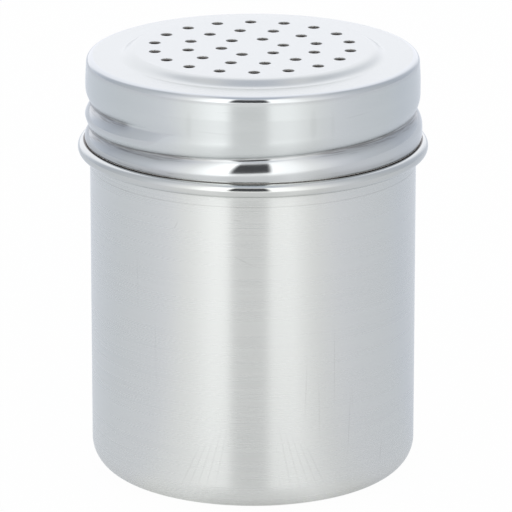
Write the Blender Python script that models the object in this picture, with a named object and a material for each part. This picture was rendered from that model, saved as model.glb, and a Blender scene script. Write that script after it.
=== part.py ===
# Spice shaker in thin stainless sheet: a deep-drawn cup with a ring bead and a
# threaded neck, and a pressed lid with a perforated raised deck and a rolled thread.
# Metres, +Z up. The origin is the middle of the base, where the cup stands.

import math

import bmesh
import bpy

# Sheet and running clearances
SHEET = 0.0005                # wall of both pressings
SEAT_GAP = 0.0003             # lid's edge above the bead's crest
THREAD_CLEARANCE = 0.00035    # neck's crest inside the lid's crest
MOUTH_GAP = 0.0012            # neck's mouth below the underside of the deck

# Cup
BODY_RADIUS = 0.0350          # outside of the straight wall
BASE_CORNER = 0.0063          # outer radius between base and wall
REST_RING = 0.0029            # flat ring that the cup stands on
PANEL_SLOPE = 0.0018          # width of the slope inside the ring
PANEL_RISE = 0.0006           # base panel above the table
BEAD_HEIGHT = 0.0718          # middle of the ring bead above the table
BEAD_ROUND = 0.0015           # radius of its half round
BEAD_FILLET = 0.0004          # wall into the underside of the bead
NECK_FILLET = 0.0008          # shoulder into the neck
NECK_RIDGE = 0.00085          # height of the rolled ridge on the neck
NECK_RIDGE_WIDTH = 0.0036

# Lid
SKIRT_PROUD = 0.0013          # fullest part of the skirt outside the cup's wall
BAND_INSET = 0.00045          # plain band inside the fullest part
BAND_TAPER = 0.0002           # and it narrows by this much towards the corner
TUCK_HEIGHT = 0.0014          # the skirt turns in over this height above its edge
LID_DEPTH = 0.0184            # edge of the skirt to the rim of the deck
LID_CORNER = 0.0014           # outer radius between deck and band
DECK_RIM = 0.0061             # flat rim round the raised deck
DECK_SLOPE = 0.0028           # width of the slope up to the raised deck
DECK_RISE = 0.0013
HOLE_RADIUS = 0.00125
HOLE_MARGIN = 0.0042          # outer holes' centres inside the edge of the raised deck
HOLE_SHIFT = (-0.00013, 0.0003)   # the holes were punched this far off the lid's axis

# Rolled thread, right-hand, one start; heights are above the edge of the skirt
THREAD_LEAD = 0.0051
THREAD_TOP = 0.0095           # middle of the groove at its upper end
THREAD_BOTTOM = 0.0022        # and at its lower end
THREAD_TILT = 0.00045         # the thread was rolled a little askew, its +X side this much higher
THREAD_DEPTH = 0.0013
THREAD_ROUND = 0.0050         # radius of the rounded lips on both sides of the groove
VALLEY_ROUND = 0.0006         # radius at the bottom of the groove
THREAD_TOP_ANGLE = math.radians(250.2)
THREAD_RUN_OUT = math.radians(40)

# Holes: rings from the middle outwards, every ring with one more set of this many
HOLES_IN_FIRST_RING = 6
HOLE_TURN = math.radians(11)
RING_SHARES = (0.318, 0.659, 1.0)

# Mesh fineness
SEGMENTS = 56
ROWS_PER_TURN = 6
ROW_SNAP_SHARE = 0.25         # a row this near the end of a threaded stretch lies on the end
CORNER_STEPS = 4
SMALL_ARC_STEPS = 2
BEAD_STEPS = 6
LID_CORNER_STEPS = 3
DECK_SLOPE_STEPS = 4
HOLE_SIDES = 12
MERGE_DISTANCE = 0.000002
PUNCH_OVERRUN = 0.0010        # punches stand past both faces of the deck
SHARP_ANGLE = math.radians(35)

# Finishes
CUP_COLOUR = (0.66, 0.67, 0.68)
CUP_ROUGHNESS = 0.30
LID_COLOUR = (0.70, 0.71, 0.72)
LID_ROUGHNESS = 0.22

# Sizes that follow from the ones above
skirt_radius = BODY_RADIUS + SKIRT_PROUD
band_radius = skirt_radius - BAND_INSET
tuck = THREAD_ROUND - math.sqrt(THREAD_ROUND ** 2 - TUCK_HEIGHT ** 2)
edge_radius = skirt_radius - tuck
bead_radius = edge_radius
seat_height = BEAD_HEIGHT + BEAD_ROUND
lid_height = seat_height + SEAT_GAP
mouth_height = lid_height + LID_DEPTH - SHEET - MOUTH_GAP
neck_crest = band_radius - THREAD_DEPTH - SHEET - THREAD_CLEARANCE
neck_radius = neck_crest - NECK_RIDGE
deck_foot = band_radius - BAND_TAPER - LID_CORNER - DECK_RIM
deck_radius = deck_foot - DECK_SLOPE
thread_sweep = (THREAD_TOP - THREAD_BOTTOM) / THREAD_LEAD * math.tau
thread_at_x = THREAD_TOP - THREAD_LEAD * THREAD_TOP_ANGLE / math.tau
lips_apart = THREAD_ROUND + VALLEY_ROUND
groove_reach = math.sqrt(lips_apart ** 2 - (lips_apart - THREAD_DEPTH) ** 2)


def ease(share):
    """0 to 1 with level ends, for slopes and run-outs."""
    share = min(max(share, 0), 1)
    return (1 - math.cos(math.pi * share)) / 2


def arc(centre_r, centre_z, radius, first, last, steps):
    """Points on an arc of an outline, both ends included, angles in degrees."""
    angles = [math.radians(first + (last - first) * k / steps) for k in range(steps + 1)]
    return [(centre_r + radius * math.cos(a), centre_z + radius * math.sin(a)) for a in angles]


def slope(start, end, steps):
    """Points of a soft step between two level stretches of an outline."""
    shares = [k / steps for k in range(steps + 1)]
    return [(start[0] + (end[0] - start[0]) * s, start[1] + (end[1] - start[1]) * ease(s)) for s in shares]


def thread_rows(angle, height, top):
    """The turns of the helix near a point: distance from each middle line and its depth share."""
    travelled = (THREAD_TOP_ANGLE - angle) % math.tau
    while travelled < thread_sweep:
        middle = top - THREAD_LEAD * travelled / math.tau + THREAD_TILT * math.cos(angle)
        fade = ease(travelled / THREAD_RUN_OUT) * ease((thread_sweep - travelled) / THREAD_RUN_OUT)
        yield abs(height - middle), fade
        travelled += math.tau


def groove(angle, height):
    """How far the roll has pressed the skirt in, with rounded lips and a tight valley."""
    deepest = 0
    valley = groove_reach * VALLEY_ROUND / lips_apart
    for off, fade in thread_rows(angle, height, THREAD_TOP):
        if off < valley:
            depth = THREAD_DEPTH - VALLEY_ROUND + math.sqrt(VALLEY_ROUND ** 2 - off ** 2)
        elif off < groove_reach:
            depth = THREAD_ROUND - math.sqrt(THREAD_ROUND ** 2 - (groove_reach - off) ** 2)
        else:
            depth = 0
        deepest = max(deepest, depth * fade)
    return deepest


def ridge(angle, height):
    """How far the neck's ridge stands out; it runs half a lead above the lid's groove."""
    tallest = 0
    for off, fade in thread_rows(angle, height, THREAD_TOP + THREAD_LEAD / 2):
        tallest = max(tallest, NECK_RIDGE * ease(1 - 2 * off / NECK_RIDGE_WIDTH) * fade)
    return tallest


def skirt_line(height):
    """Radius of the skirt before its thread is rolled: edge tucked in, then full, then the band."""
    below = max(TUCK_HEIGHT - height, 0)
    turned_in = THREAD_ROUND - math.sqrt(THREAD_ROUND ** 2 - below ** 2)
    swell = ease((height - THREAD_BOTTOM) / (THREAD_TOP - THREAD_BOTTOM))
    return skirt_radius - turned_in - BAND_INSET * swell


def add_grid(bm, rows):
    """Quads between rows of points; clamped rows collapse when doubles are merged."""
    verts = [[bm.verts.new(point) for point in row] for row in rows]
    for low, high in zip(verts, verts[1:]):
        for k in range(len(low) - 1):
            bm.faces.new((low[k], low[k + 1], high[k + 1], high[k]))


def add_turned(bm, outline):
    """A turned stretch of skin from its outline of radii and heights."""
    angles = [math.tau * k / SEGMENTS for k in range(SEGMENTS + 1)]
    add_grid(bm, [[(r * math.cos(a), r * math.sin(a), z) for a in angles] for r, z in outline])


def add_threaded(bm, low, high, base, middle, radius_at):
    """A threaded stretch of skin whose rows climb with the helix, cut level at both ends."""
    rise = THREAD_LEAD / ROWS_PER_TURN
    snap = rise * ROW_SNAP_SHARE
    first = middle - THREAD_LEAD * (2 + math.ceil((middle - low) / THREAD_LEAD))
    count = math.ceil((high + THREAD_TILT - first) / rise) + 1
    rows = []
    for i in range(count):
        row = []
        for k in range(SEGMENTS + 1):
            angle = math.tau * k / SEGMENTS
            height = first + rise * i + THREAD_LEAD * k / SEGMENTS + THREAD_TILT * math.cos(angle)
            if height < low + snap:
                height = low
            elif height > high - snap:
                height = high
            radius = radius_at(angle, height)
            row.append((radius * math.cos(angle), radius * math.sin(angle), base + height))
        rows.append(row)
    add_grid(bm, rows)


def finish_skin(bm, name, centre_radius, centre_height):
    """Joins the stretches, closes the flat disc in the middle and turns the faces outwards."""
    bmesh.ops.remove_doubles(bm, verts=bm.verts, dist=MERGE_DISTANCE)
    disc = [e for e in bm.edges if e.is_boundary and all(
        abs(v.co.xy.length - centre_radius) < MERGE_DISTANCE and
        abs(v.co.z - centre_height) < MERGE_DISTANCE for v in e.verts)]
    bmesh.ops.edgeloop_fill(bm, edges=disc)
    bmesh.ops.recalc_face_normals(bm, faces=bm.faces)
    mesh = bpy.data.meshes.new(name)
    bm.to_mesh(mesh)
    bm.free()
    return mesh


def steel(name, colour, roughness):
    material = bpy.data.materials.new(name)
    material.use_nodes = True
    shader = material.node_tree.nodes["Principled BSDF"]
    shader.inputs["Base Color"].default_value = (*colour, 1)
    shader.inputs["Metallic"].default_value = 1
    shader.inputs["Roughness"].default_value = roughness
    return material


def add_object(name, mesh, material=None):
    obj = bpy.data.objects.new(name, mesh)
    bpy.context.scene.collection.objects.link(obj)
    if material:
        mesh.materials.append(material)
    return obj


def give_sheet(obj):
    """The skin is the outer face; the sheet lies inside it."""
    sheet = obj.modifiers.new("sheet", "SOLIDIFY")
    sheet.thickness = SHEET
    sheet.offset = -1
    sheet.use_even_offset = True
    sheet.use_quality_normals = True


def smooth(obj):
    obj.data.shade_smooth()
    obj.data.set_sharp_from_angle(angle=SHARP_ANGLE)


def make_cup():
    ring_inner = BODY_RADIUS - BASE_CORNER - REST_RING
    panel_radius = ring_inner - PANEL_SLOPE
    outline = slope((panel_radius, PANEL_RISE), (ring_inner, 0), SMALL_ARC_STEPS)
    outline += arc(BODY_RADIUS - BASE_CORNER, BASE_CORNER, BASE_CORNER, -90, 0, CORNER_STEPS)

    # The fillet touches the wall and the underside of the bead
    across = bead_radius - BODY_RADIUS - BEAD_FILLET
    below = math.sqrt((BEAD_ROUND + BEAD_FILLET) ** 2 - across ** 2)
    meet = math.degrees(math.atan2(below, across))
    outline += arc(BODY_RADIUS + BEAD_FILLET, BEAD_HEIGHT - below, BEAD_FILLET, 180, meet, SMALL_ARC_STEPS)
    outline += arc(bead_radius, BEAD_HEIGHT, BEAD_ROUND, meet - 180, 90, BEAD_STEPS)[1:]

    outline += arc(neck_radius + NECK_FILLET, seat_height + NECK_FILLET, NECK_FILLET, 270, 180,
                   SMALL_ARC_STEPS)
    thread_low = THREAD_BOTTOM + (THREAD_LEAD - NECK_RIDGE_WIDTH) / 2
    thread_high = THREAD_TOP + (THREAD_LEAD + NECK_RIDGE_WIDTH) / 2
    outline.append((neck_radius, lid_height + thread_low))

    bm = bmesh.new()
    add_turned(bm, outline)
    add_threaded(bm, thread_low, thread_high, lid_height, thread_at_x + THREAD_LEAD / 2,
                 lambda angle, height: neck_radius + ridge(angle, height))
    add_turned(bm, [(neck_radius, lid_height + thread_high), (neck_radius, mouth_height)])
    mesh = finish_skin(bm, "cup", panel_radius, PANEL_RISE)
    cup = add_object("cup", mesh, steel("satin drawn steel", CUP_COLOUR, CUP_ROUGHNESS))
    give_sheet(cup)
    smooth(cup)
    return cup


def make_punches(deck_height):
    """One closed round punch for each hole, set out ring by ring."""
    bm = bmesh.new()
    outer_ring = deck_radius - HOLE_MARGIN
    for ring, share in enumerate(RING_SHARES, start=1):
        holes = HOLES_IN_FIRST_RING * ring
        for k in range(holes):
            angle = HOLE_TURN + math.tau * k / holes
            made = bmesh.ops.create_cone(bm, cap_ends=True, segments=HOLE_SIDES, radius1=HOLE_RADIUS,
                                         radius2=HOLE_RADIUS, depth=SHEET + 2 * PUNCH_OVERRUN)
            centre = (HOLE_SHIFT[0] + outer_ring * share * math.cos(angle),
                      HOLE_SHIFT[1] + outer_ring * share * math.sin(angle), deck_height - SHEET / 2)
            bmesh.ops.translate(bm, verts=made["verts"], vec=centre)
    mesh = bpy.data.meshes.new("hole punches")
    bm.to_mesh(mesh)
    bm.free()
    punches = add_object("hole_punches", mesh)
    punches.hide_render = True
    punches.display_type = "WIRE"
    return punches


def make_lid():
    deck_height = LID_DEPTH + DECK_RISE
    thread_high = THREAD_TOP + groove_reach
    outline = [(band_radius, thread_high)]
    outline += arc(band_radius - BAND_TAPER - LID_CORNER, LID_DEPTH - LID_CORNER, LID_CORNER, 0, 90,
                   LID_CORNER_STEPS)
    outline += slope((deck_foot, LID_DEPTH), (deck_radius, deck_height), DECK_SLOPE_STEPS)

    bm = bmesh.new()
    add_threaded(bm, 0, thread_high, 0, thread_at_x,
                 lambda angle, height: skirt_line(height) - groove(angle, height))
    add_turned(bm, outline)
    mesh = finish_skin(bm, "lid", deck_radius, deck_height)
    lid = add_object("lid", mesh, steel("bright pressed steel", LID_COLOUR, LID_ROUGHNESS))
    give_sheet(lid)
    smooth(lid)

    punches = make_punches(deck_height)
    punches.parent = lid
    cut = lid.modifiers.new("holes", "BOOLEAN")
    cut.operation = "DIFFERENCE"
    cut.solver = "EXACT"
    cut.object = punches

    # The lid lifts and turns about the axis through its own origin
    lid.location = (0, 0, lid_height)
    return lid


for old in list(bpy.data.objects):
    bpy.data.objects.remove(old, do_unlink=True)
make_cup()
make_lid()
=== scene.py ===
import math

import bmesh
import bpy
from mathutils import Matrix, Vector


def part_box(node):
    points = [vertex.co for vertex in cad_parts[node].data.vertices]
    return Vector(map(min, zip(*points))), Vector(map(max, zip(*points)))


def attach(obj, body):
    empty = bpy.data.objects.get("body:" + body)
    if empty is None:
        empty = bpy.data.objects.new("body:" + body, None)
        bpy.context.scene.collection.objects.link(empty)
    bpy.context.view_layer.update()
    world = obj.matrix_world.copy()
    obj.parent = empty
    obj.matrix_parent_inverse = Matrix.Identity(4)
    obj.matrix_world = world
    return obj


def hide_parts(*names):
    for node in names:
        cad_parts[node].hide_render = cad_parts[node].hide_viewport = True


# Spice shaker in stainless sheet: a brushed cup with a ring bead and a threaded neck, and a pressed
# lid with a perforated raised deck and a rolled thread. Metres, +Z up, the photograph looks along +Y.

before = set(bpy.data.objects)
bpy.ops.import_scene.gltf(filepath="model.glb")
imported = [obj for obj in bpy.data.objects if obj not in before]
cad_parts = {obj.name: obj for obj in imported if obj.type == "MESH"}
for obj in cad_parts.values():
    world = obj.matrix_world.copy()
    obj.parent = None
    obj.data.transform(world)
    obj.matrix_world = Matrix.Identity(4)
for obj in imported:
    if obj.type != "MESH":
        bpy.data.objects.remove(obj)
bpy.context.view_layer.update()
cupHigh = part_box("cup")[1]
lidLow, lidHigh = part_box("lid")
mm = 0.001
print("frame loaded: lid from", round(lidLow.z / mm, 2), "to", round(lidHigh.z / mm, 2), "mm")


# Colours and nodes

def linearColour(hexText):
    channels = [int(hexText[i:i + 2], 16) / 255 for i in (1, 3, 5)]
    return tuple(c / 12.92 if c <= 0.04045 else ((c + 0.055) / 1.055) ** 2.4 for c in channels) + (1,)


def addNode(tree, kind, sockets=None, **settings):
    node = tree.nodes.new("ShaderNode" + kind)
    for name, value in settings.items():
        setattr(node, name, value)
    for socket, value in (sockets or {}).items():
        if isinstance(value, bpy.types.NodeSocket):
            tree.links.new(value, node.inputs[socket])
        else:
            node.inputs[socket].default_value = value
    return node


def smoothStep(tree, value, span, first=0, last=1):
    return addNode(tree, "MapRange", {"Value": value, "From Min": span[0], "From Max": span[1],
                                      "To Min": first, "To Max": last},
                   interpolation_type="SMOOTHSTEP").outputs[0]


def azimuthOf(tree, axes):
    # 0 in front of the shaker, positive to its right, in radians
    front = addNode(tree, "Math", {0: axes["Y"], 1: -1}, operation="MULTIPLY").outputs[0]
    return addNode(tree, "Math", {0: axes["X"], 1: front}, operation="ARCTAN2").outputs[0]


# Lines that the outlines are made of, as radii and heights

segments = 288                       # round the axis, for both pressings
softAngle = math.radians(40)         # edges sharper than this stay crisp


def ease(share):
    share = min(max(share, 0), 1)
    return (1 - math.cos(math.pi * share)) / 2


def arcPoints(centre, radius, first, last, steps):
    angles = [math.radians(first + (last - first) * k / steps) for k in range(steps + 1)]
    return [(centre[0] + radius * math.cos(a), centre[1] + radius * math.sin(a)) for a in angles]


def slopePoints(start, end, steps):
    shares = [k / steps for k in range(steps + 1)]
    return [(start[0] + (end[0] - start[0]) * s, start[1] + (end[1] - start[1]) * ease(s)) for s in shares]


def turned(outline):
    angles = [math.tau * k / segments for k in range(segments)]
    return [[(r * math.cos(a), r * math.sin(a), z) for a in angles] for r, z in outline]


# Rolled thread, right-hand, one start; heights are above the edge of the skirt
thread = {
    "lead": 5.1 * mm,
    "top": 9.5 * mm,                 # middle of the groove at its upper end
    "bottom": 2.2 * mm,
    "tilt": 0.45 * mm,               # it was rolled a little askew, its right side this much higher
    "depth": 1.3 * mm,
    "lipRound": 5.0 * mm,            # rounded lips on both sides of the groove
    "valleyRound": 0.6 * mm,
    "crestBlend": 0.12 * mm,         # where the lips of two turns meet
    "topAngle": math.radians(250.2),
    "runOut": math.radians(40),
    "rowStep": 0.11 * mm,            # fineness of the mesh
}
threadSweep = (thread["top"] - thread["bottom"]) / thread["lead"] * math.tau
lipsApart = thread["lipRound"] + thread["valleyRound"]
grooveReach = math.sqrt(lipsApart ** 2 - (lipsApart - thread["depth"]) ** 2)


def threadTurns(angle, height, top):
    # How far a point is above the middle of each turn, and how deep that turn is there
    travelled = (thread["topAngle"] - angle) % math.tau
    while travelled < threadSweep:
        middle = top - thread["lead"] * travelled / math.tau + thread["tilt"] * math.cos(angle)
        fade = ease(travelled / thread["runOut"]) * ease((threadSweep - travelled) / thread["runOut"])
        yield height - middle, fade
        travelled += math.tau


def grooveDepth(angle, height):
    depths = [0, 0]
    valley = thread["valleyRound"]
    lip = thread["lipRound"]
    for above, fade in threadTurns(angle, height, thread["top"]):
        off = abs(above)
        if off < grooveReach * valley / lipsApart:
            depth = thread["depth"] - valley + math.sqrt(valley ** 2 - off ** 2)
        elif off < grooveReach:
            depth = lip - math.sqrt(lip ** 2 - (grooveReach - off) ** 2)
        else:
            depth = 0
        depths.append(depth * fade)
    shallow, deep = sorted(depths)[-2:]
    meet = max(1 - (deep - shallow) / thread["crestBlend"], 0)
    return deep + meet ** 2 * min(thread["crestBlend"] / 4, shallow)


def threaded(low, high, base, radiusAt):
    # Rows of points from low to high; radiusAt gives the radius for an angle and a height
    count = math.ceil((high - low) / thread["rowStep"])
    rows = []
    for i in range(count + 1):
        height = low + (high - low) * i / count
        row = []
        for k in range(segments):
            angle = math.tau * k / segments
            radius = radiusAt(angle, height)
            row.append((radius * math.cos(angle), radius * math.sin(angle), base + height))
        rows.append(row)
    return rows


# Sheet that has an outside, an inside and a rounded raw edge

outside, inside, cutEdge, deck = 0, 1, 2, 3          # material slots of the pressings


def bridge(bm, low, high, slot):
    for k in range(len(low)):
        bm.faces.new((low[k - 1], low[k], high[k], high[k - 1])).material_index = slot


def addSheet(bm, rows, thickness, deckRows=0):
    # The rows are the outside, from bottom to top, and the last of them may be deck
    outer = [[bm.verts.new(point) for point in row] for row in rows]
    for i, (low, high) in enumerate(zip(outer, outer[1:])):
        bridge(bm, low, high, deck if i >= len(rows) - deckRows else outside)
    bm.normal_update()
    inner = [[bm.verts.new(v.co - v.normal * thickness) for v in ring] for ring in outer]
    for low, high in zip(inner, inner[1:]):
        bridge(bm, high, low, inside)
    return outer, inner


def addRawEdge(bm, fromRing, toRing, bulge, steps):
    # Half round over the cut edge of the sheet, bulge high along the axis
    last = fromRing
    for j in range(1, steps):
        angle = math.pi * j / steps
        ring = []
        for a, b in zip(fromRing, toRing):
            middle, half = (a.co + b.co) / 2, (a.co - b.co) / 2
            over = Vector((0, 0, bulge * math.sin(angle)))
            ring.append(bm.verts.new(middle + half * math.cos(angle) + over))
        bridge(bm, last, ring, cutEdge)
        last = ring
    bridge(bm, last, toRing, cutEdge)


def finishPiece(bm, name, materials, zones):
    # zones are values for each outside point, 0 where there is none, read by the materials
    for zone, valueAt in zones.items():
        layer = bm.verts.layers.float.new(zone)
        for vert in bm.verts:
            if any(face.material_index in (outside, deck) for face in vert.link_faces):
                vert[layer] = valueAt(vert.co)
    bmesh.ops.recalc_face_normals(bm, faces=bm.faces)
    mesh = bpy.data.meshes.new(name)
    bm.to_mesh(mesh)
    bm.free()
    for material in materials:
        mesh.materials.append(material)
    mesh.shade_smooth()
    mesh.set_sharp_from_angle(angle=softAngle)
    piece = bpy.data.objects.new(name, mesh)
    bpy.context.scene.collection.objects.link(piece)
    return piece


# Stainless steel 18/10, belt-brushed round the axis: the fine lines stretch every reflection up and down
# the wall and keep its sides crisp. Where the sheet was rolled or drawn over a tool it is burnished bright.
brushedFinish = {
    "colour": "#e3e5e3",
    "burnished": "#d5d7d5",          # a closed, bright surface scatters less than the lines do
    "residueAndShade": "#463e39",            # grey-brown polishing residue; the same colour paints shade in the thread's valley and the seams at the lid's edge
    "roughness": 0.27,
    "spread": 0.04,                  # of the roughness, between the lines and the flats
    "burnishedRoughness": 0.10,
    "lineSpacing": 0.9 * mm,         # grit 240 leaves lines 0.06 mm apart; drawn coarser so that they show
    "lineLength": 60 * mm,
    "lineDepth": 0.0014 * mm,
    "waveSize": 9 * mm,              # slight unevenness of the hand-held belt
    "waveDepth": 0.004 * mm,
    "smearSpacing": 0.35 * mm,       # residue and painted shade are broken into streaks
    "smearLength": 6 * mm,
    "evenShare": 0.35,                    # share of the residue and painted shade that lies evenly
    "streaks": 0.30,                 # and what its streaks add
}
# The lid was polished a little further, but its lines are the deeper ones, and it is the cooler of the two
lidFinish = dict(brushedFinish, colour="#dbdfdf", burnished="#d3d6d7", roughness=0.235,
                 lineDepth=0.0045 * mm)


def brushedStainless(name, finish, wallRadius, slant, marks):
    # slant is 1 for the cup and -1 for the lid, so that the lines follow both the wall and the flat end
    material = bpy.data.materials.new(name)
    material.use_nodes = True
    tree = material.node_tree
    shader = tree.nodes["Principled BSDF"]
    place = addNode(tree, "TexCoord").outputs["Object"]
    axes = addNode(tree, "SeparateXYZ", {"Vector": place}).outputs
    flat = addNode(tree, "CombineXYZ", {"X": axes["X"], "Y": axes["Y"]}).outputs["Vector"]
    radius = addNode(tree, "VectorMath", {0: flat}, operation="LENGTH").outputs["Value"]
    across = addNode(tree, "Math", {0: radius, 1: slant, 2: axes["Z"]}, operation="MULTIPLY_ADD").outputs[0]
    rolledOut = addNode(tree, "CombineXYZ", {"X": axes["X"], "Y": axes["Y"], "Z": across}).outputs[0]

    # Lines round the axis, long and close together; the smears of residue and painted shade are shorter
    stretch = finish["lineSpacing"] / finish["lineLength"]
    drawn = addNode(tree, "VectorMath", {0: rolledOut, 1: (stretch, stretch, 1)},
                    operation="MULTIPLY").outputs[0]
    lines = addNode(tree, "TexNoise", {"Vector": drawn, "Scale": 1 / finish["lineSpacing"], "Detail": 3,
                                       "Roughness": 0.55}).outputs["Fac"]
    stretch = finish["smearSpacing"] / finish["smearLength"]
    smearPlace = addNode(tree, "VectorMath", {0: rolledOut, 1: (stretch, stretch, 1)},
                    operation="MULTIPLY").outputs[0]
    smears = addNode(tree, "TexNoise", {"Vector": smearPlace, "Scale": 1 / finish["smearSpacing"], "Detail": 3,
                                        "Roughness": 0.6}).outputs["Fac"]
    waves = addNode(tree, "TexNoise", {"Vector": place, "Scale": 1 / finish["waveSize"],
                                       "Detail": 1}).outputs["Fac"]

    burnish = addNode(tree, "Attribute", attribute_name="burnish").outputs["Fac"]
    residueAndShade = addNode(tree, "Attribute", attribute_name="residueAndShade").outputs["Fac"]

    lineRough = addNode(tree, "MapRange", {"Value": lines,
                                           "To Min": finish["roughness"] - finish["spread"],
                                           "To Max": finish["roughness"] + finish["spread"]}).outputs[0]
    rough = addNode(tree, "Mix", {"Factor": burnish, "A": lineRough,
                                  "B": finish["burnishedRoughness"]}).outputs[0]
    tree.links.new(rough, shader.inputs["Roughness"])

    steel = addNode(tree, "Mix", {"Factor": burnish, "A": linearColour(finish["colour"]),
                                  "B": linearColour(finish["burnished"])},
                    data_type="RGBA").outputs["Result"]
    # Of a little residue and painted shade only the strongest streaks are left, and much of them is solid
    streaks = addNode(tree, "MapRange", {"Value": smears, "From Min": 0.3, "From Max": 0.7, "To Min": -1,
                                         "To Max": 0}).outputs[0]
    cover = addNode(tree, "Math", {0: residueAndShade, 1: streaks}, operation="ADD").outputs[0]
    solid = smoothStep(tree, cover, (0, 0.8), 0, finish["streaks"])
    share = addNode(tree, "Math", {0: residueAndShade, 1: finish["evenShare"], 2: solid},
                    operation="MULTIPLY_ADD").outputs[0]

    # Scratches, smudges and painted reflection strokes lie at places on the unrolled wall; as tapering
    # strokes they need no picture
    arc = addNode(tree, "Math", {0: azimuthOf(tree, axes), 1: wallRadius}, operation="MULTIPLY").outputs[0]
    unrolled = addNode(tree, "CombineXYZ", {"X": arc, "Y": axes["Z"]}).outputs[0]
    for along, height, halfLength, halfWidth, lean, strength in marks:
        stroke = addNode(tree, "Mapping", {"Vector": unrolled, "Location": (along * mm, height * mm, 0),
                                           "Rotation": (0, 0, math.radians(lean)),
                                           "Scale": (halfLength * mm, halfWidth * mm, 1)},
                         vector_type="TEXTURE")
        far = addNode(tree, "VectorMath", {0: stroke.outputs[0]}, operation="LENGTH").outputs["Value"]
        mark = smoothStep(tree, far, (0.2, 1), strength, 0)
        share = addNode(tree, "Math", {0: share, 1: mark}, operation="ADD").outputs[0]
    # The residue colour paints residue, painted shade in creases and seams, and painted reflection strokes
    # over the steel
    tint = addNode(tree, "Mix", {"Factor": share, "A": steel, "B": linearColour(finish["residueAndShade"])},
                   data_type="RGBA").outputs["Result"]
    tree.links.new(tint, shader.inputs["Base Color"])

    fine = addNode(tree, "Bump", {"Height": lines, "Distance": finish["lineDepth"]}).outputs[0]
    bump = addNode(tree, "Bump", {"Height": waves, "Distance": finish["waveDepth"],
                                  "Normal": fine}).outputs[0]
    tree.links.new(bump, shader.inputs["Normal"])
    grain = addNode(tree, "Tangent", direction_type="RADIAL", axis="Z").outputs[0]
    tree.links.new(grain, shader.inputs["Tangent"])
    shader.inputs["Metallic"].default_value = 1
    shader.inputs["Anisotropic"].default_value = 1
    shader.inputs["Anisotropic Rotation"].default_value = 0.25
    return material


# Same steel without lines: the deck has the even satin of the pressing, the inside is duller
satinFinish = {"colour": "#d5d7d5", "roughness": 0.24, "spread": 0.03, "grain": 0.4 * mm,
               "grainDepth": 0.0006 * mm}
drawnFinish = {"colour": "#c3c5c5", "roughness": 0.38, "spread": 0.06, "grain": 0.5 * mm,
               "grainDepth": 0.001 * mm}


def grainedStainless(name, finish):
    material = bpy.data.materials.new(name)
    material.use_nodes = True
    tree = material.node_tree
    shader = tree.nodes["Principled BSDF"]
    place = addNode(tree, "TexCoord").outputs["Object"]
    grain = addNode(tree, "TexNoise", {"Vector": place, "Scale": 1 / finish["grain"],
                                       "Detail": 2}).outputs["Fac"]
    bump = addNode(tree, "Bump", {"Height": grain, "Distance": finish["grainDepth"]}).outputs[0]
    rough = addNode(tree, "MapRange", {"Value": grain, "To Min": finish["roughness"] - finish["spread"],
                                       "To Max": finish["roughness"] + finish["spread"]}).outputs[0]
    tree.links.new(rough, shader.inputs["Roughness"])
    tree.links.new(bump, shader.inputs["Normal"])
    shader.inputs["Base Color"].default_value = linearColour(finish["colour"])
    shader.inputs["Metallic"].default_value = 1
    return material


# Edges that a punch or a trimming tool has sheared: torn, so matt that they catch light from everywhere
shearedFinish = {"colour": "#cfcdca", "roughness": 0.8}


def shearedStainless(name, finish):
    material = bpy.data.materials.new(name)
    material.use_nodes = True
    shader = material.node_tree.nodes["Principled BSDF"]
    shader.inputs["Base Color"].default_value = linearColour(finish["colour"])
    shader.inputs["Roughness"].default_value = finish["roughness"]
    shader.inputs["Metallic"].default_value = 1
    return material


# Cup, one drawn pressing
cup = {
    "sheet": 0.5 * mm,
    "wallRadius": 35.0 * mm,
    "baseCorner": 6.3 * mm,
    "restRing": 2.9 * mm,            # flat ring that the cup stands on
    "panelSlope": 1.8 * mm,
    "panelRise": 0.6 * mm,
    "beadMiddle": 71.8 * mm,
    "beadRound": 1.5 * mm,
    "beadFillet": 0.4 * mm,
    "neckFillet": 0.8 * mm,
    "neckRadius": 32.85 * mm,
    "ridgeHeight": 0.85 * mm,
    "ridgeWidth": 3.6 * mm,
    "edgeBulge": 0.2 * mm,
    "markHeight": 67.9 * mm,         # thin mark that the bead's tool left round the wall
    "markWidth": 0.3 * mm,
    "markResidue": 0.5,
    "rowsAbove": 8,                  # between the mark and the bead, for the burnish
    "burnishFade": 0.8 * mm,         # below the bead
    "seamShadeOut": 0.15 * mm,           # painted shade of the seam on the bead reaches this far past the lid's edge
    "seamShadeIn": 0.9 * mm,             # and this far in under it
    "seamShadeDrop": 0.7 * mm,           # and this far down
    "seamShadeFades": (0.12 * mm, 0.3 * mm, 0.2 * mm),           # widths of these three edges
    "seamShadeStrength": 2.2,
    # wear on the wall, in millimetres and degrees: round it from the front, height, half length, half
    # width, lean, strength
    "marks": [(-1.9, 56.1, 3.4, 0.10, -28, 0.20), (-16.9, 62.7, 2.1, 0.10, 62, 0.18),
              (-3.3, 65, 1.6, 0.30, -10, 0.09), (11.4, 27.6, 9, 0.16, 88, 0.09),
              (14.4, 22.7, 9, 0.16, 91, 0.09), (18, 31.3, 14, 0.2, 90, 0.08),
              (21.8, 18, 10, 0.2, 87, 0.09), (31.3, 9.9, 3, 0.2, 80, 0.12),
              (22.6, 24, 5, 0.12, 93, 0.08), (-22, 34, 12, 0.25, 91, 0.04),
              (-27, 50, 9, 0.3, 89, 0.04)],
    # painted reflection: darker strokes between the bright arcs that the lights draw over the base corner
    "arcReflectionStrokes": [(side * (6.8 + 1.7 * k), 12.5 - 0.6 * k, 10 - 0.4 * k, 0.28,
                    90 + side * (11 + 3.5 * k), 0.055) for side in (-1, 1) for k in range(5)],
}


frontEnds, sidesBegin = 14, 32          # degrees from the front


def awayFromFront(point):
    # 0 in front, 1 at its sides and its back, where the painted shade and the residue are stronger
    offFront = abs(math.degrees(math.atan2(point.x, -point.y)))
    return ease((offFront - frontEnds) / (sidesBegin - frontEnds))


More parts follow.
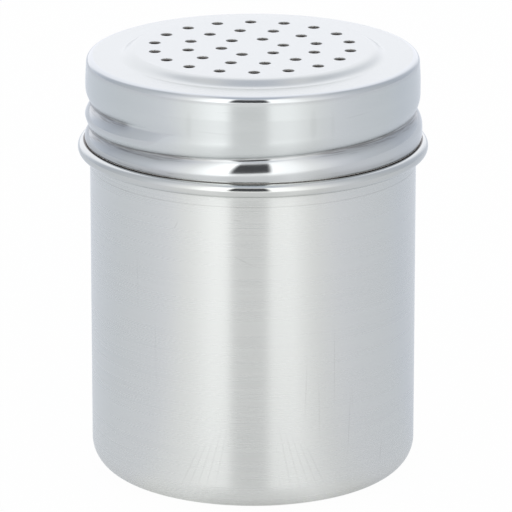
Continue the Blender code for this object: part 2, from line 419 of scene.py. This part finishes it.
def ridgeHeight(angle, height):
    tallest = 0
    for above, fade in threadTurns(angle, height, thread["top"] + thread["lead"] / 2):
        tallest = max(tallest, cup["ridgeHeight"] * ease(1 - 2 * abs(above) / cup["ridgeWidth"]) * fade)
    return tallest


def makeCup(materials):
    ringInner = cup["wallRadius"] - cup["baseCorner"] - cup["restRing"]
    panelRadius = ringInner - cup["panelSlope"]
    outline = slopePoints((panelRadius, cup["panelRise"]), (ringInner, 0), 12)
    outline += arcPoints((cup["wallRadius"] - cup["baseCorner"], cup["baseCorner"]), cup["baseCorner"],
                         -90, 0, 30)

    # The fillet touches the wall and the underside of the bead
    beadRadius = cupHigh.x - cup["beadRound"]
    across = beadRadius - cup["wallRadius"] - cup["beadFillet"]
    below = math.sqrt((cup["beadRound"] + cup["beadFillet"]) ** 2 - across ** 2)
    meet = math.degrees(math.atan2(below, across))
    filletMiddle = (cup["wallRadius"] + cup["beadFillet"], cup["beadMiddle"] - below)
    outline += [(cup["wallRadius"], cup["markHeight"] + cup["markWidth"] * share)
                for share in (-0.5, 0, 0.5)]
    markTop, filletFoot = outline[-1][1], cup["beadMiddle"] - below
    outline += [(cup["wallRadius"], markTop + (filletFoot - markTop) * k / cup["rowsAbove"])
                for k in range(1, cup["rowsAbove"])]
    outline += arcPoints(filletMiddle, cup["beadFillet"], 180, meet, 8)
    outline += arcPoints((beadRadius, cup["beadMiddle"]), cup["beadRound"], meet - 180, 90, 36)[1:]

    seat = cup["beadMiddle"] + cup["beadRound"]
    outline += arcPoints((cup["neckRadius"] + cup["neckFillet"], seat + cup["neckFillet"]),
                         cup["neckFillet"], 270, 180, 8)
    threadLow = thread["bottom"] + (thread["lead"] - cup["ridgeWidth"]) / 2
    threadHigh = thread["top"] + (thread["lead"] + cup["ridgeWidth"]) / 2
    rows = turned(outline)
    rows += threaded(threadLow, threadHigh, lidLow.z,
                     lambda angle, height: cup["neckRadius"] + ridgeHeight(angle, height))
    rows += turned([(cup["neckRadius"], cupHigh.z - cup["edgeBulge"])])

    bm = bmesh.new()
    outer, inner = addSheet(bm, rows, cup["sheet"])
    bm.faces.new(outer[0][::-1]).material_index = outside
    bm.faces.new(inner[0]).material_index = inside
    addRawEdge(bm, outer[-1], inner[-1], cup["edgeBulge"], 8)

    def burnish(point):
        # The bead was rolled, so it is bright, and so is the neck above it
        return 1 - ease((cup["beadMiddle"] - cup["beadRound"] - point.z) / cup["burnishFade"])

    def residueAndShade(point):
        # Painted shade where the lid's edge comes down on the bead, little of it in front; and the thin
        # mark's stain
        aside = awayFromFront(point)
        mark = cup["markResidue"] * ease(1 - abs(point.z - cup["markHeight"]) / (0.4 * cup["markWidth"]))
        fadeOut, fadeIn, fadeDown = cup["seamShadeFades"]
        past = point.xy.length - lid["skirtRadius"]
        within = ease((cup["seamShadeOut"] * aside - past) / fadeOut) * ease((past + cup["seamShadeIn"]) / fadeIn)
        onTop = ease((point.z - seat + cup["seamShadeDrop"]) / fadeDown)
        return max(mark, cup["seamShadeStrength"] * aside ** 2 * within * onTop)

    return finishPiece(bm, "brushed_cup", materials, {"burnish": burnish, "residueAndShade": residueAndShade})


# Lid, one pressing with punched holes
lid = {
    "sheet": 0.5 * mm,
    "skirtRadius": 36.3 * mm,
    "bandInset": 0.45 * mm,          # plain band inside the fullest part of the skirt
    "bandTaper": 0.2 * mm,           # and it narrows towards the corner
    "bandRows": 12,
    "tuckHeight": 1.4 * mm,          # the skirt turns in over this height
    "corner": 1.4 * mm,
    "rim": 5.5 * mm,
    "slope": 3.4 * mm,
    "rise": 1.52 * mm,
    "edgeBulge": 0.28 * mm,
    "rolledReach": 3.5 * mm,         # the roll pressed this far below the middle of the groove
    "rolledStart": 0.3 * mm,
    "rolledFade": 0.4 * mm,
    "brightSkirt": 2.4 * mm,
    "brightFade": 1.0 * mm,
    "cornerFade": 0.8 * mm,
    # residue and painted shade: its share in front, how much more the sides have, the reach that it fades
    # over, and how much of such a reach it fills before that
    "seatResidueShade": (0.1, 0.57, 1.6 * mm, 0.15),
    "valleyResidueShade": (0.6, 0.4, 0.5 * mm, 0.4),
    "valleyShift": 0.1 * mm,
    "lowerResidueShade": (0.1, 0.8, 2.1 * mm, 0),
    "upperResidueShade": (0.28, 0.13, 1.3 * mm, 0),
    "residueShadeEnds": (0.72, 0.92),     # shares of the groove's full depth over which it comes in
    # wear on the band, in the same order as the cup's; the three wide upright strokes are painted
    # reflection lines
    "marks": [(-13.9, 85.2, 4.3, 1.1, 90, 0.04), (13, 85.2, 4.5, 1.2, 90, 0.05),
              (17.5, 84.5, 4, 0.8, 90, 0.03), (-8, 83.9, 7, 0.12, -2, 0.08),
              (-5, 88.5, 5, 0.1, 1, 0.06), (24, 86, 5, 0.15, 4, 0.07)],
}
holes = {
    "radius": 1.25 * mm,
    "margin": 4.2 * mm,
    "shift": Vector((-0.13 * mm, 0.3 * mm)),     # the holes were punched this far off the axis
    "inFirstRing": 6,                # every ring has one more set of this many
    "turn": math.radians(11),
    "ringShares": (0.318, 0.659, 1.0),
    "roll": 0.14 * mm,               # the punch rounds the upper edge
    "guard": 0.12 * mm,              # flat ring round it, so that the deck stays flat
    "breakout": 0.06 * mm,           # and tears the lower half of the wall a little wider
    "sides": 32,
}


def skirtLine(height):
    below = max(lid["tuckHeight"] - height, 0)
    turnedIn = thread["lipRound"] - math.sqrt(thread["lipRound"] ** 2 - below ** 2)
    swell = ease((height - thread["bottom"]) / (thread["top"] - thread["bottom"]))
    return lid["skirtRadius"] - turnedIn - lid["bandInset"] * swell


def addHole(bm, centre, top, bottom):
    # Rolled upper edge, sheared wall, torn lower edge
    outline = [(holes["radius"] + holes["roll"] + holes["guard"], top)]
    outline += arcPoints((holes["radius"] + holes["roll"], top - holes["roll"]), holes["roll"], 90, 180, 5)
    outline += [(holes["radius"], (top + bottom) / 2), (holes["radius"] + holes["breakout"], bottom),
                (holes["radius"] + holes["roll"] + holes["guard"], bottom)]
    angles = [math.tau * k / holes["sides"] for k in range(holes["sides"])]
    rings = [[bm.verts.new((centre.x + r * math.cos(a), centre.y + r * math.sin(a), z)) for a in angles]
             for r, z in outline]
    for low, high in zip(rings, rings[1:]):
        onTop, below = low[0].co.z > top - holes["roll"] / 2, high[0].co.z == low[0].co.z == bottom
        bridge(bm, high, low, deck if onTop else inside if below else cutEdge)
    return rings[0], rings[-1]


def fillDeck(bm, rim, holeRings, slot):
    loops = [rim] + holeRings
    edges = [bm.edges.get((ring[k - 1], ring[k])) for ring in loops for k in range(len(ring))]
    made = bmesh.ops.triangle_fill(bm, use_beauty=True, use_dissolve=False, edges=edges)
    for face in made["geom"]:
        if isinstance(face, bmesh.types.BMFace):
            face.material_index = slot


def makeLid(materials):
    depth = lidHigh.z - lidLow.z - lid["rise"]
    bandRadius = lid["skirtRadius"] - lid["bandInset"]
    cornerRadius = bandRadius - lid["bandTaper"] - lid["corner"]
    deckFoot = cornerRadius - lid["rim"]
    deckRadius = deckFoot - lid["slope"]
    base = lidLow.z
    threadHigh = thread["top"] + grooveReach
    cornerMiddle = (cornerRadius, base + depth - lid["corner"])
    slopeSteps = 24
    shares = [k / lid["bandRows"] for k in range(1, lid["bandRows"])]
    outline = [(bandRadius - lid["bandTaper"] * share,
                base + threadHigh + (depth - lid["corner"] - threadHigh) * share) for share in shares]
    outline += arcPoints(cornerMiddle, lid["corner"], 0, 90, 20)
    outline += slopePoints((deckFoot, base + depth), (deckRadius, lidHigh.z), slopeSteps)

    rows = threaded(0, threadHigh, base,
                    lambda angle, height: skirtLine(height) - grooveDepth(angle, height))
    rows += turned(outline)
    bm = bmesh.new()
    outer, inner = addSheet(bm, rows, lid["sheet"], slopeSteps + 2)
    addRawEdge(bm, inner[0], outer[0], -lid["edgeBulge"], 8)

    top, bottom = outer[-1][0].co.z, inner[-1][0].co.z
    topRings, bottomRings = [], []
    outerRing = deckRadius - holes["margin"]
    for ring, share in enumerate(holes["ringShares"], start=1):
        count = holes["inFirstRing"] * ring
        for k in range(count):
            angle = holes["turn"] + math.tau * k / count
            centre = holes["shift"] + Vector((math.cos(angle), math.sin(angle))) * outerRing * share
            above, beneath = addHole(bm, centre, top, bottom)
            topRings.append(above)
            bottomRings.append(beneath)
    fillDeck(bm, outer[-1], topRings, deck)
    fillDeck(bm, inner[-1], bottomRings, inside)

    def burnish(point):
        # Bright are the corner, the groove's lower lip as far as the roll pressed, and the skirt's edge
        angle = math.atan2(point.y, point.x) % math.tau
        height = point.z - base
        rolled = 0
        for above, fade in threadTurns(angle, height, thread["top"]):
            reach = lid["rolledReach"] * ease(fade / 0.5)
            upperEnd = ease((lid["rolledStart"] - above) / lid["rolledFade"])
            rolled = max(rolled, upperEnd * ease((above + reach) / lid["rolledFade"]))
        skirt = 1 - ease((height - lid["brightSkirt"]) / lid["brightFade"])
        offCorner = max(cornerMiddle[0] - point.xy.length, cornerMiddle[1] - point.z, 0)
        return max(rolled, skirt, 1 - ease(offCorner / lid["cornerFade"]))

    def residueAndShade(point):
        # Residue and painted shade, little of it in front and most of it in the valley and along the seat
        angle = math.atan2(point.y, point.x) % math.tau
        height = point.z - base
        aside = awayFromFront(point)

        def amount(zone, off):
            inFront, more, reach, filled = lid[zone]
            return (inFront + more * aside) * ease(1 + filled - off / reach)

        share = amount("seatResidueShade", height)
        none, full = lid["residueShadeEnds"]
        for above, fade in threadTurns(angle, height, thread["top"]):
            valley = amount("valleyResidueShade", abs(above - lid["valleyShift"]))
            slope = amount("lowerResidueShade", -above) if above < 0 else amount("upperResidueShade", above)
            share = max(share, ease((fade - none) / (full - none)) * max(valley, slope))
        return share

    return finishPiece(bm, "brushed_lid", materials, {"burnish": burnish, "residueAndShade": residueAndShade})


# Soft white studio. The metal shows it, so its parts have real places: a pale room, two soft lights in
# front with a dark gap between them, a white board below, and a white sheet that leans over the shaker
# from behind. Rings run from behind over the left: degrees from the front, colour, strength.
studio = {
    "peak": 2.0,
    "room": [(-180, "#f8f9ff", 1.06), (-160, "#edf3ff", 0.95), (-136, "#edf3ff", 0.83),
             (-118, "#edf3ff", 0.68), (-98, "#f4f8ff", 0.69), (-78, "#f4f8ff", 0.77),
             (-60, "#f8f9ff", 0.95), (-45, "#ffffff", 1.12), (-32, "#ffffff", 1.55),
             (-18.5, "#ffffff", 1.80), (-10, "#ffffff", 1.30), (6, "#ffffff", 1.30),
             (12.5, "#ffffff", 1.60), (28, "#ffffff", 1.42), (40, "#ffffff", 1.12),
             (60, "#f8f9ff", 0.90), (80, "#f4f8ff", 0.75), (98, "#f4f8ff", 0.69),
             (118, "#edf3ff", 0.67), (136, "#edf3ff", 0.74), (160, "#edf3ff", 0.84),
             (180, "#f8f9ff", 1.06)],
    "board": [(-180, "#f8f9ff", 0.97), (-165, "#edf3ff", 0.93), (-150, "#edf3ff", 0.80),
              (-98, "#f4f8ff", 0.78), (-60, "#f8f9ff", 0.85), (-45, "#ffffff", 0.91),
              (-25, "#ffffff", 1.0), (-12, "#ffffff", 0.86), (8, "#ffffff", 0.86), (25, "#ffffff", 1.0),
              (42, "#ffffff", 0.80), (60, "#f8f9ff", 0.81), (98, "#f4f8ff", 0.76),
              (120, "#edf3ff", 0.76), (150, "#edf3ff", 0.80), (165, "#edf3ff", 0.93),
              (180, "#f8f9ff", 0.97)],
    "gap": [(-180, "#ffffff", 0), (-17.8, "#ffffff", 0), (-14.6, "#ffffff", 1), (9.4, "#ffffff", 1),
            (12.4, "#ffffff", 0), (180, "#ffffff", 0)],
    "gapColour": ("#f8f9ff", 0.09),
    "gapFoot": (3, 9),               # degrees above the floor over which the gap begins
    "gapTop": (50, 64),              # and ends
    "roomFoot": (-12, 3),            # the same for the room, above the board and below the ceiling
    "roomTop": (58, 70),
    "ceiling": ("#f8f8fc", 0.93),
    "ceilingLine": ("#e9effd", 0.78),            # darker where it runs over the shaker
    "lineEdge": (0.10, 0.32),
    "sheet": ("#f8f9ff", 1.25),
    "sheetLean": 1.0,
    "sheetAside": 0.1,               # it reaches further to the left
    "sheetEdge": (0.3, 0.75),        # its side edges, as shares of how far behind it is met
    "sheetOver": (0.15, 0.62),       # and where it ends above the shaker
}


def scaled(colour, strength):
    return [channel * strength for channel in linearColour(colour)[:3]] + [1]


def azimuthRing(tree, vector, stops, peak):
    # Colours round the shaker, for a direction or for a place on the board
    axes = addNode(tree, "SeparateXYZ", {"Vector": vector}).outputs
    share = addNode(tree, "MapRange", {"Value": azimuthOf(tree, axes), "From Min": -math.pi,
                                       "From Max": math.pi}).outputs[0]
    ring = addNode(tree, "ValToRGB", {"Fac": share})
    marks = ring.color_ramp.elements
    while len(marks) < len(stops):
        marks.new(1)
    for mark, (degrees, colour, strength) in zip(marks, stops):
        mark.position = (degrees + 180) / 360
        mark.color = scaled(colour, strength / peak)
    return ring.outputs["Color"]


def risesOver(degrees):
    return [math.sin(math.radians(d)) for d in degrees]


def makeStudio():
    world = bpy.data.worlds.new("soft_studio")
    bpy.context.scene.world = world
    world.use_nodes = True
    tree = world.node_tree
    tree.nodes.clear()
    direction = addNode(tree, "TexCoord").outputs["Generated"]
    axes = addNode(tree, "SeparateXYZ", {"Vector": direction}).outputs
    room = azimuthRing(tree, direction, studio["room"], studio["peak"])
    board = azimuthRing(tree, direction, studio["board"], studio["peak"])
    foot = smoothStep(tree, axes["Z"], risesOver(studio["roomFoot"]))
    overhead = smoothStep(tree, axes["Z"], risesOver(studio["roomTop"]))

    # The leaning sheet: how far behind the shaker a ray meets its plane, and how far aside there
    behind = addNode(tree, "Math", {0: axes["Z"], 1: studio["sheetLean"], 2: axes["Y"]},
                     operation="MULTIPLY_ADD").outputs[0]
    depth = addNode(tree, "Math", {0: behind, 1: 0.01}, operation="MAXIMUM").outputs[0]
    aside = addNode(tree, "Math", {0: axes["X"], 1: depth}, operation="DIVIDE").outputs[0]
    shifted = addNode(tree, "Math", {0: aside, 1: studio["sheetAside"]}, operation="ADD").outputs[0]
    width = addNode(tree, "Math", {0: shifted}, operation="ABSOLUTE").outputs[0]
    across = smoothStep(tree, width, studio["sheetEdge"], 1, 0)
    over = smoothStep(tree, axes["Y"], studio["sheetOver"])
    sheet = addNode(tree, "Math", {0: across, 1: over}, operation="MULTIPLY").outputs[0]

    # The dark gap stands above the board, and the ceiling is darker along a line over the shaker
    ring = azimuthRing(tree, direction, studio["gap"], 1)
    aboveFoot = smoothStep(tree, axes["Z"], risesOver(studio["gapFoot"]))
    belowTop = smoothStep(tree, axes["Z"], risesOver(studio["gapTop"]), 1, 0)
    upright = addNode(tree, "Math", {0: aboveFoot, 1: belowTop}, operation="MULTIPLY").outputs[0]
    gap = addNode(tree, "Math", {0: ring, 1: upright}, operation="MULTIPLY").outputs[0]
    offLine = addNode(tree, "Math", {0: axes["X"]}, operation="ABSOLUTE").outputs[0]
    line = smoothStep(tree, offLine, studio["lineEdge"], 1, 0)
    line = addNode(tree, "Math", {0: line, 1: overhead}, operation="MULTIPLY").outputs[0]

    light = addNode(tree, "Mix", {"Factor": foot, "A": board, "B": room},
                    data_type="RGBA").outputs["Result"]
    for share, (colour, strength) in ((gap, studio["gapColour"]), (overhead, studio["ceiling"]),
                                      (line, studio["ceilingLine"]), (sheet, studio["sheet"])):
        light = addNode(tree, "Mix", {"Factor": share, "A": light,
                                      "B": scaled(colour, strength / studio["peak"])},
                        data_type="RGBA").outputs["Result"]
    seen = addNode(tree, "Background", {"Color": (1, 1, 1, 1), "Strength": 1})
    lit = addNode(tree, "Background", {"Color": light, "Strength": studio["peak"]})
    toCamera = addNode(tree, "LightPath").outputs["Is Camera Ray"]
    both = addNode(tree, "MixShader", {0: toCamera, 1: lit.outputs[0], 2: seen.outputs[0]})
    addNode(tree, "OutputWorld", {"Surface": both.outputs[0]})
    print("studio ready")


# White board; it starts a forearm in front of the shaker and runs far behind it
floorPlan = {
    "front": -0.43,
    "back": 8.0,
    "side": 6.0,
    "colour": "#f4f4f2",
    "seen": 0.975,                   # share of plain white that the camera sees, the rest keeps the shadow
    "mirrored": 0.72,                # and share of the board's own light that the metal sees
    "underShaker": 0.3,              # less of it close by, so that the metal keeps its contact shadow
    "foot": (15 * mm, 47 * mm),      # from the axis, where the one turns into the other
}


def makeFloor():
    bm = bmesh.new()
    corners = [(-floorPlan["side"], floorPlan["front"]), (floorPlan["side"], floorPlan["front"]),
               (floorPlan["side"], floorPlan["back"]), (-floorPlan["side"], floorPlan["back"])]
    bm.faces.new([bm.verts.new((x, y, 0)) for x, y in corners])
    mesh = bpy.data.meshes.new("pale_floor")
    bm.to_mesh(mesh)
    bm.free()
    floor = bpy.data.objects.new("pale_floor", mesh)
    bpy.context.scene.collection.objects.link(floor)

    material = bpy.data.materials.new("matt white board")
    material.use_nodes = True
    tree = material.node_tree
    tree.nodes.clear()
    paper = addNode(tree, "BsdfDiffuse", {"Color": linearColour(floorPlan["colour"])}).outputs[0]
    white = addNode(tree, "Emission", {"Color": (1, 1, 1, 1), "Strength": 1}).outputs[0]
    place = addNode(tree, "TexCoord").outputs["Object"]
    ring = azimuthRing(tree, place, studio["board"], 1)
    glow = addNode(tree, "Emission", {"Color": ring, "Strength": 1}).outputs[0]
    clear = addNode(tree, "BsdfTransparent").outputs[0]
    path = addNode(tree, "LightPath").outputs
    seen = addNode(tree, "Math", {0: path["Is Camera Ray"], 1: floorPlan["seen"]},
                   operation="MULTIPLY").outputs[0]
    shown = addNode(tree, "MixShader", {0: seen, 1: paper, 2: white}).outputs[0]
    far = addNode(tree, "VectorMath", {0: place}, operation="LENGTH").outputs["Value"]
    clearOfFoot = smoothStep(tree, far, floorPlan["foot"], floorPlan["underShaker"], floorPlan["mirrored"])
    mirrored = addNode(tree, "Math", {0: path["Is Glossy Ray"], 1: clearOfFoot},
                       operation="MULTIPLY").outputs[0]
    top = addNode(tree, "MixShader", {0: mirrored, 1: shown, 2: glow}).outputs[0]
    under = addNode(tree, "NewGeometry").outputs["Backfacing"]
    both = addNode(tree, "MixShader", {0: under, 1: top, 2: clear}).outputs[0]
    addNode(tree, "OutputMaterial", {"Surface": both})
    mesh.materials.append(material)
    print("floor ready")


# Where the photograph was taken from, fitted to the outline, the bead and the holes
photoView = {
    "distance": 1081.6 * mm,
    "height": 378.0 * mm,
    "tilt": 0.3012,
    "focal": 5234.9,                 # in pixels of the photograph
    "middle": (253.0, 276.4),        # where the lens points, in its pixels
    "side": 512,
}


def makeCamera():
    camera = bpy.data.objects.new("camera", bpy.data.cameras.new("camera"))
    bpy.context.scene.collection.objects.link(camera)
    camera.location = (0, -photoView["distance"], photoView["height"])
    camera.rotation_euler = (math.pi / 2 - photoView["tilt"], 0, 0)
    lens = camera.data
    lens.lens = photoView["focal"] / photoView["side"] * lens.sensor_width
    lens.shift_x = 0.5 - photoView["middle"][0] / photoView["side"]
    lens.shift_y = photoView["middle"][1] / photoView["side"] - 0.5
    lens.clip_start, lens.clip_end = 0.05, 50
    bpy.context.scene.camera = camera
    print("camera ready")


makeCamera()
makeStudio()
makeFloor()

cupSteel = brushedStainless("stainless cup, belt-brushed", brushedFinish, cup["wallRadius"], 1,
                            cup["marks"] + cup["arcReflectionStrokes"])
lidSteel = brushedStainless("stainless lid, belt-brushed", lidFinish, lid["skirtRadius"], -1, lid["marks"])
satinSteel = grainedStainless("stainless deck, satin", satinFinish)
drawnSteel = grainedStainless("stainless, as drawn", drawnFinish)
shearedSteel = shearedStainless("stainless, sheared", shearedFinish)
print("materials ready")

brushedCup = makeCup([cupSteel, drawnSteel, shearedSteel])
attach(brushedCup, "cup")
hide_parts("cup")
print("cup ready,", len(brushedCup.data.polygons), "faces")

brushedLid = makeLid([lidSteel, drawnSteel, shearedSteel, satinSteel])
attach(brushedLid, "lid")
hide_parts("lid")
print("lid ready,", len(brushedLid.data.polygons), "faces")

bpy.context.scene.view_settings.view_transform = "Standard"
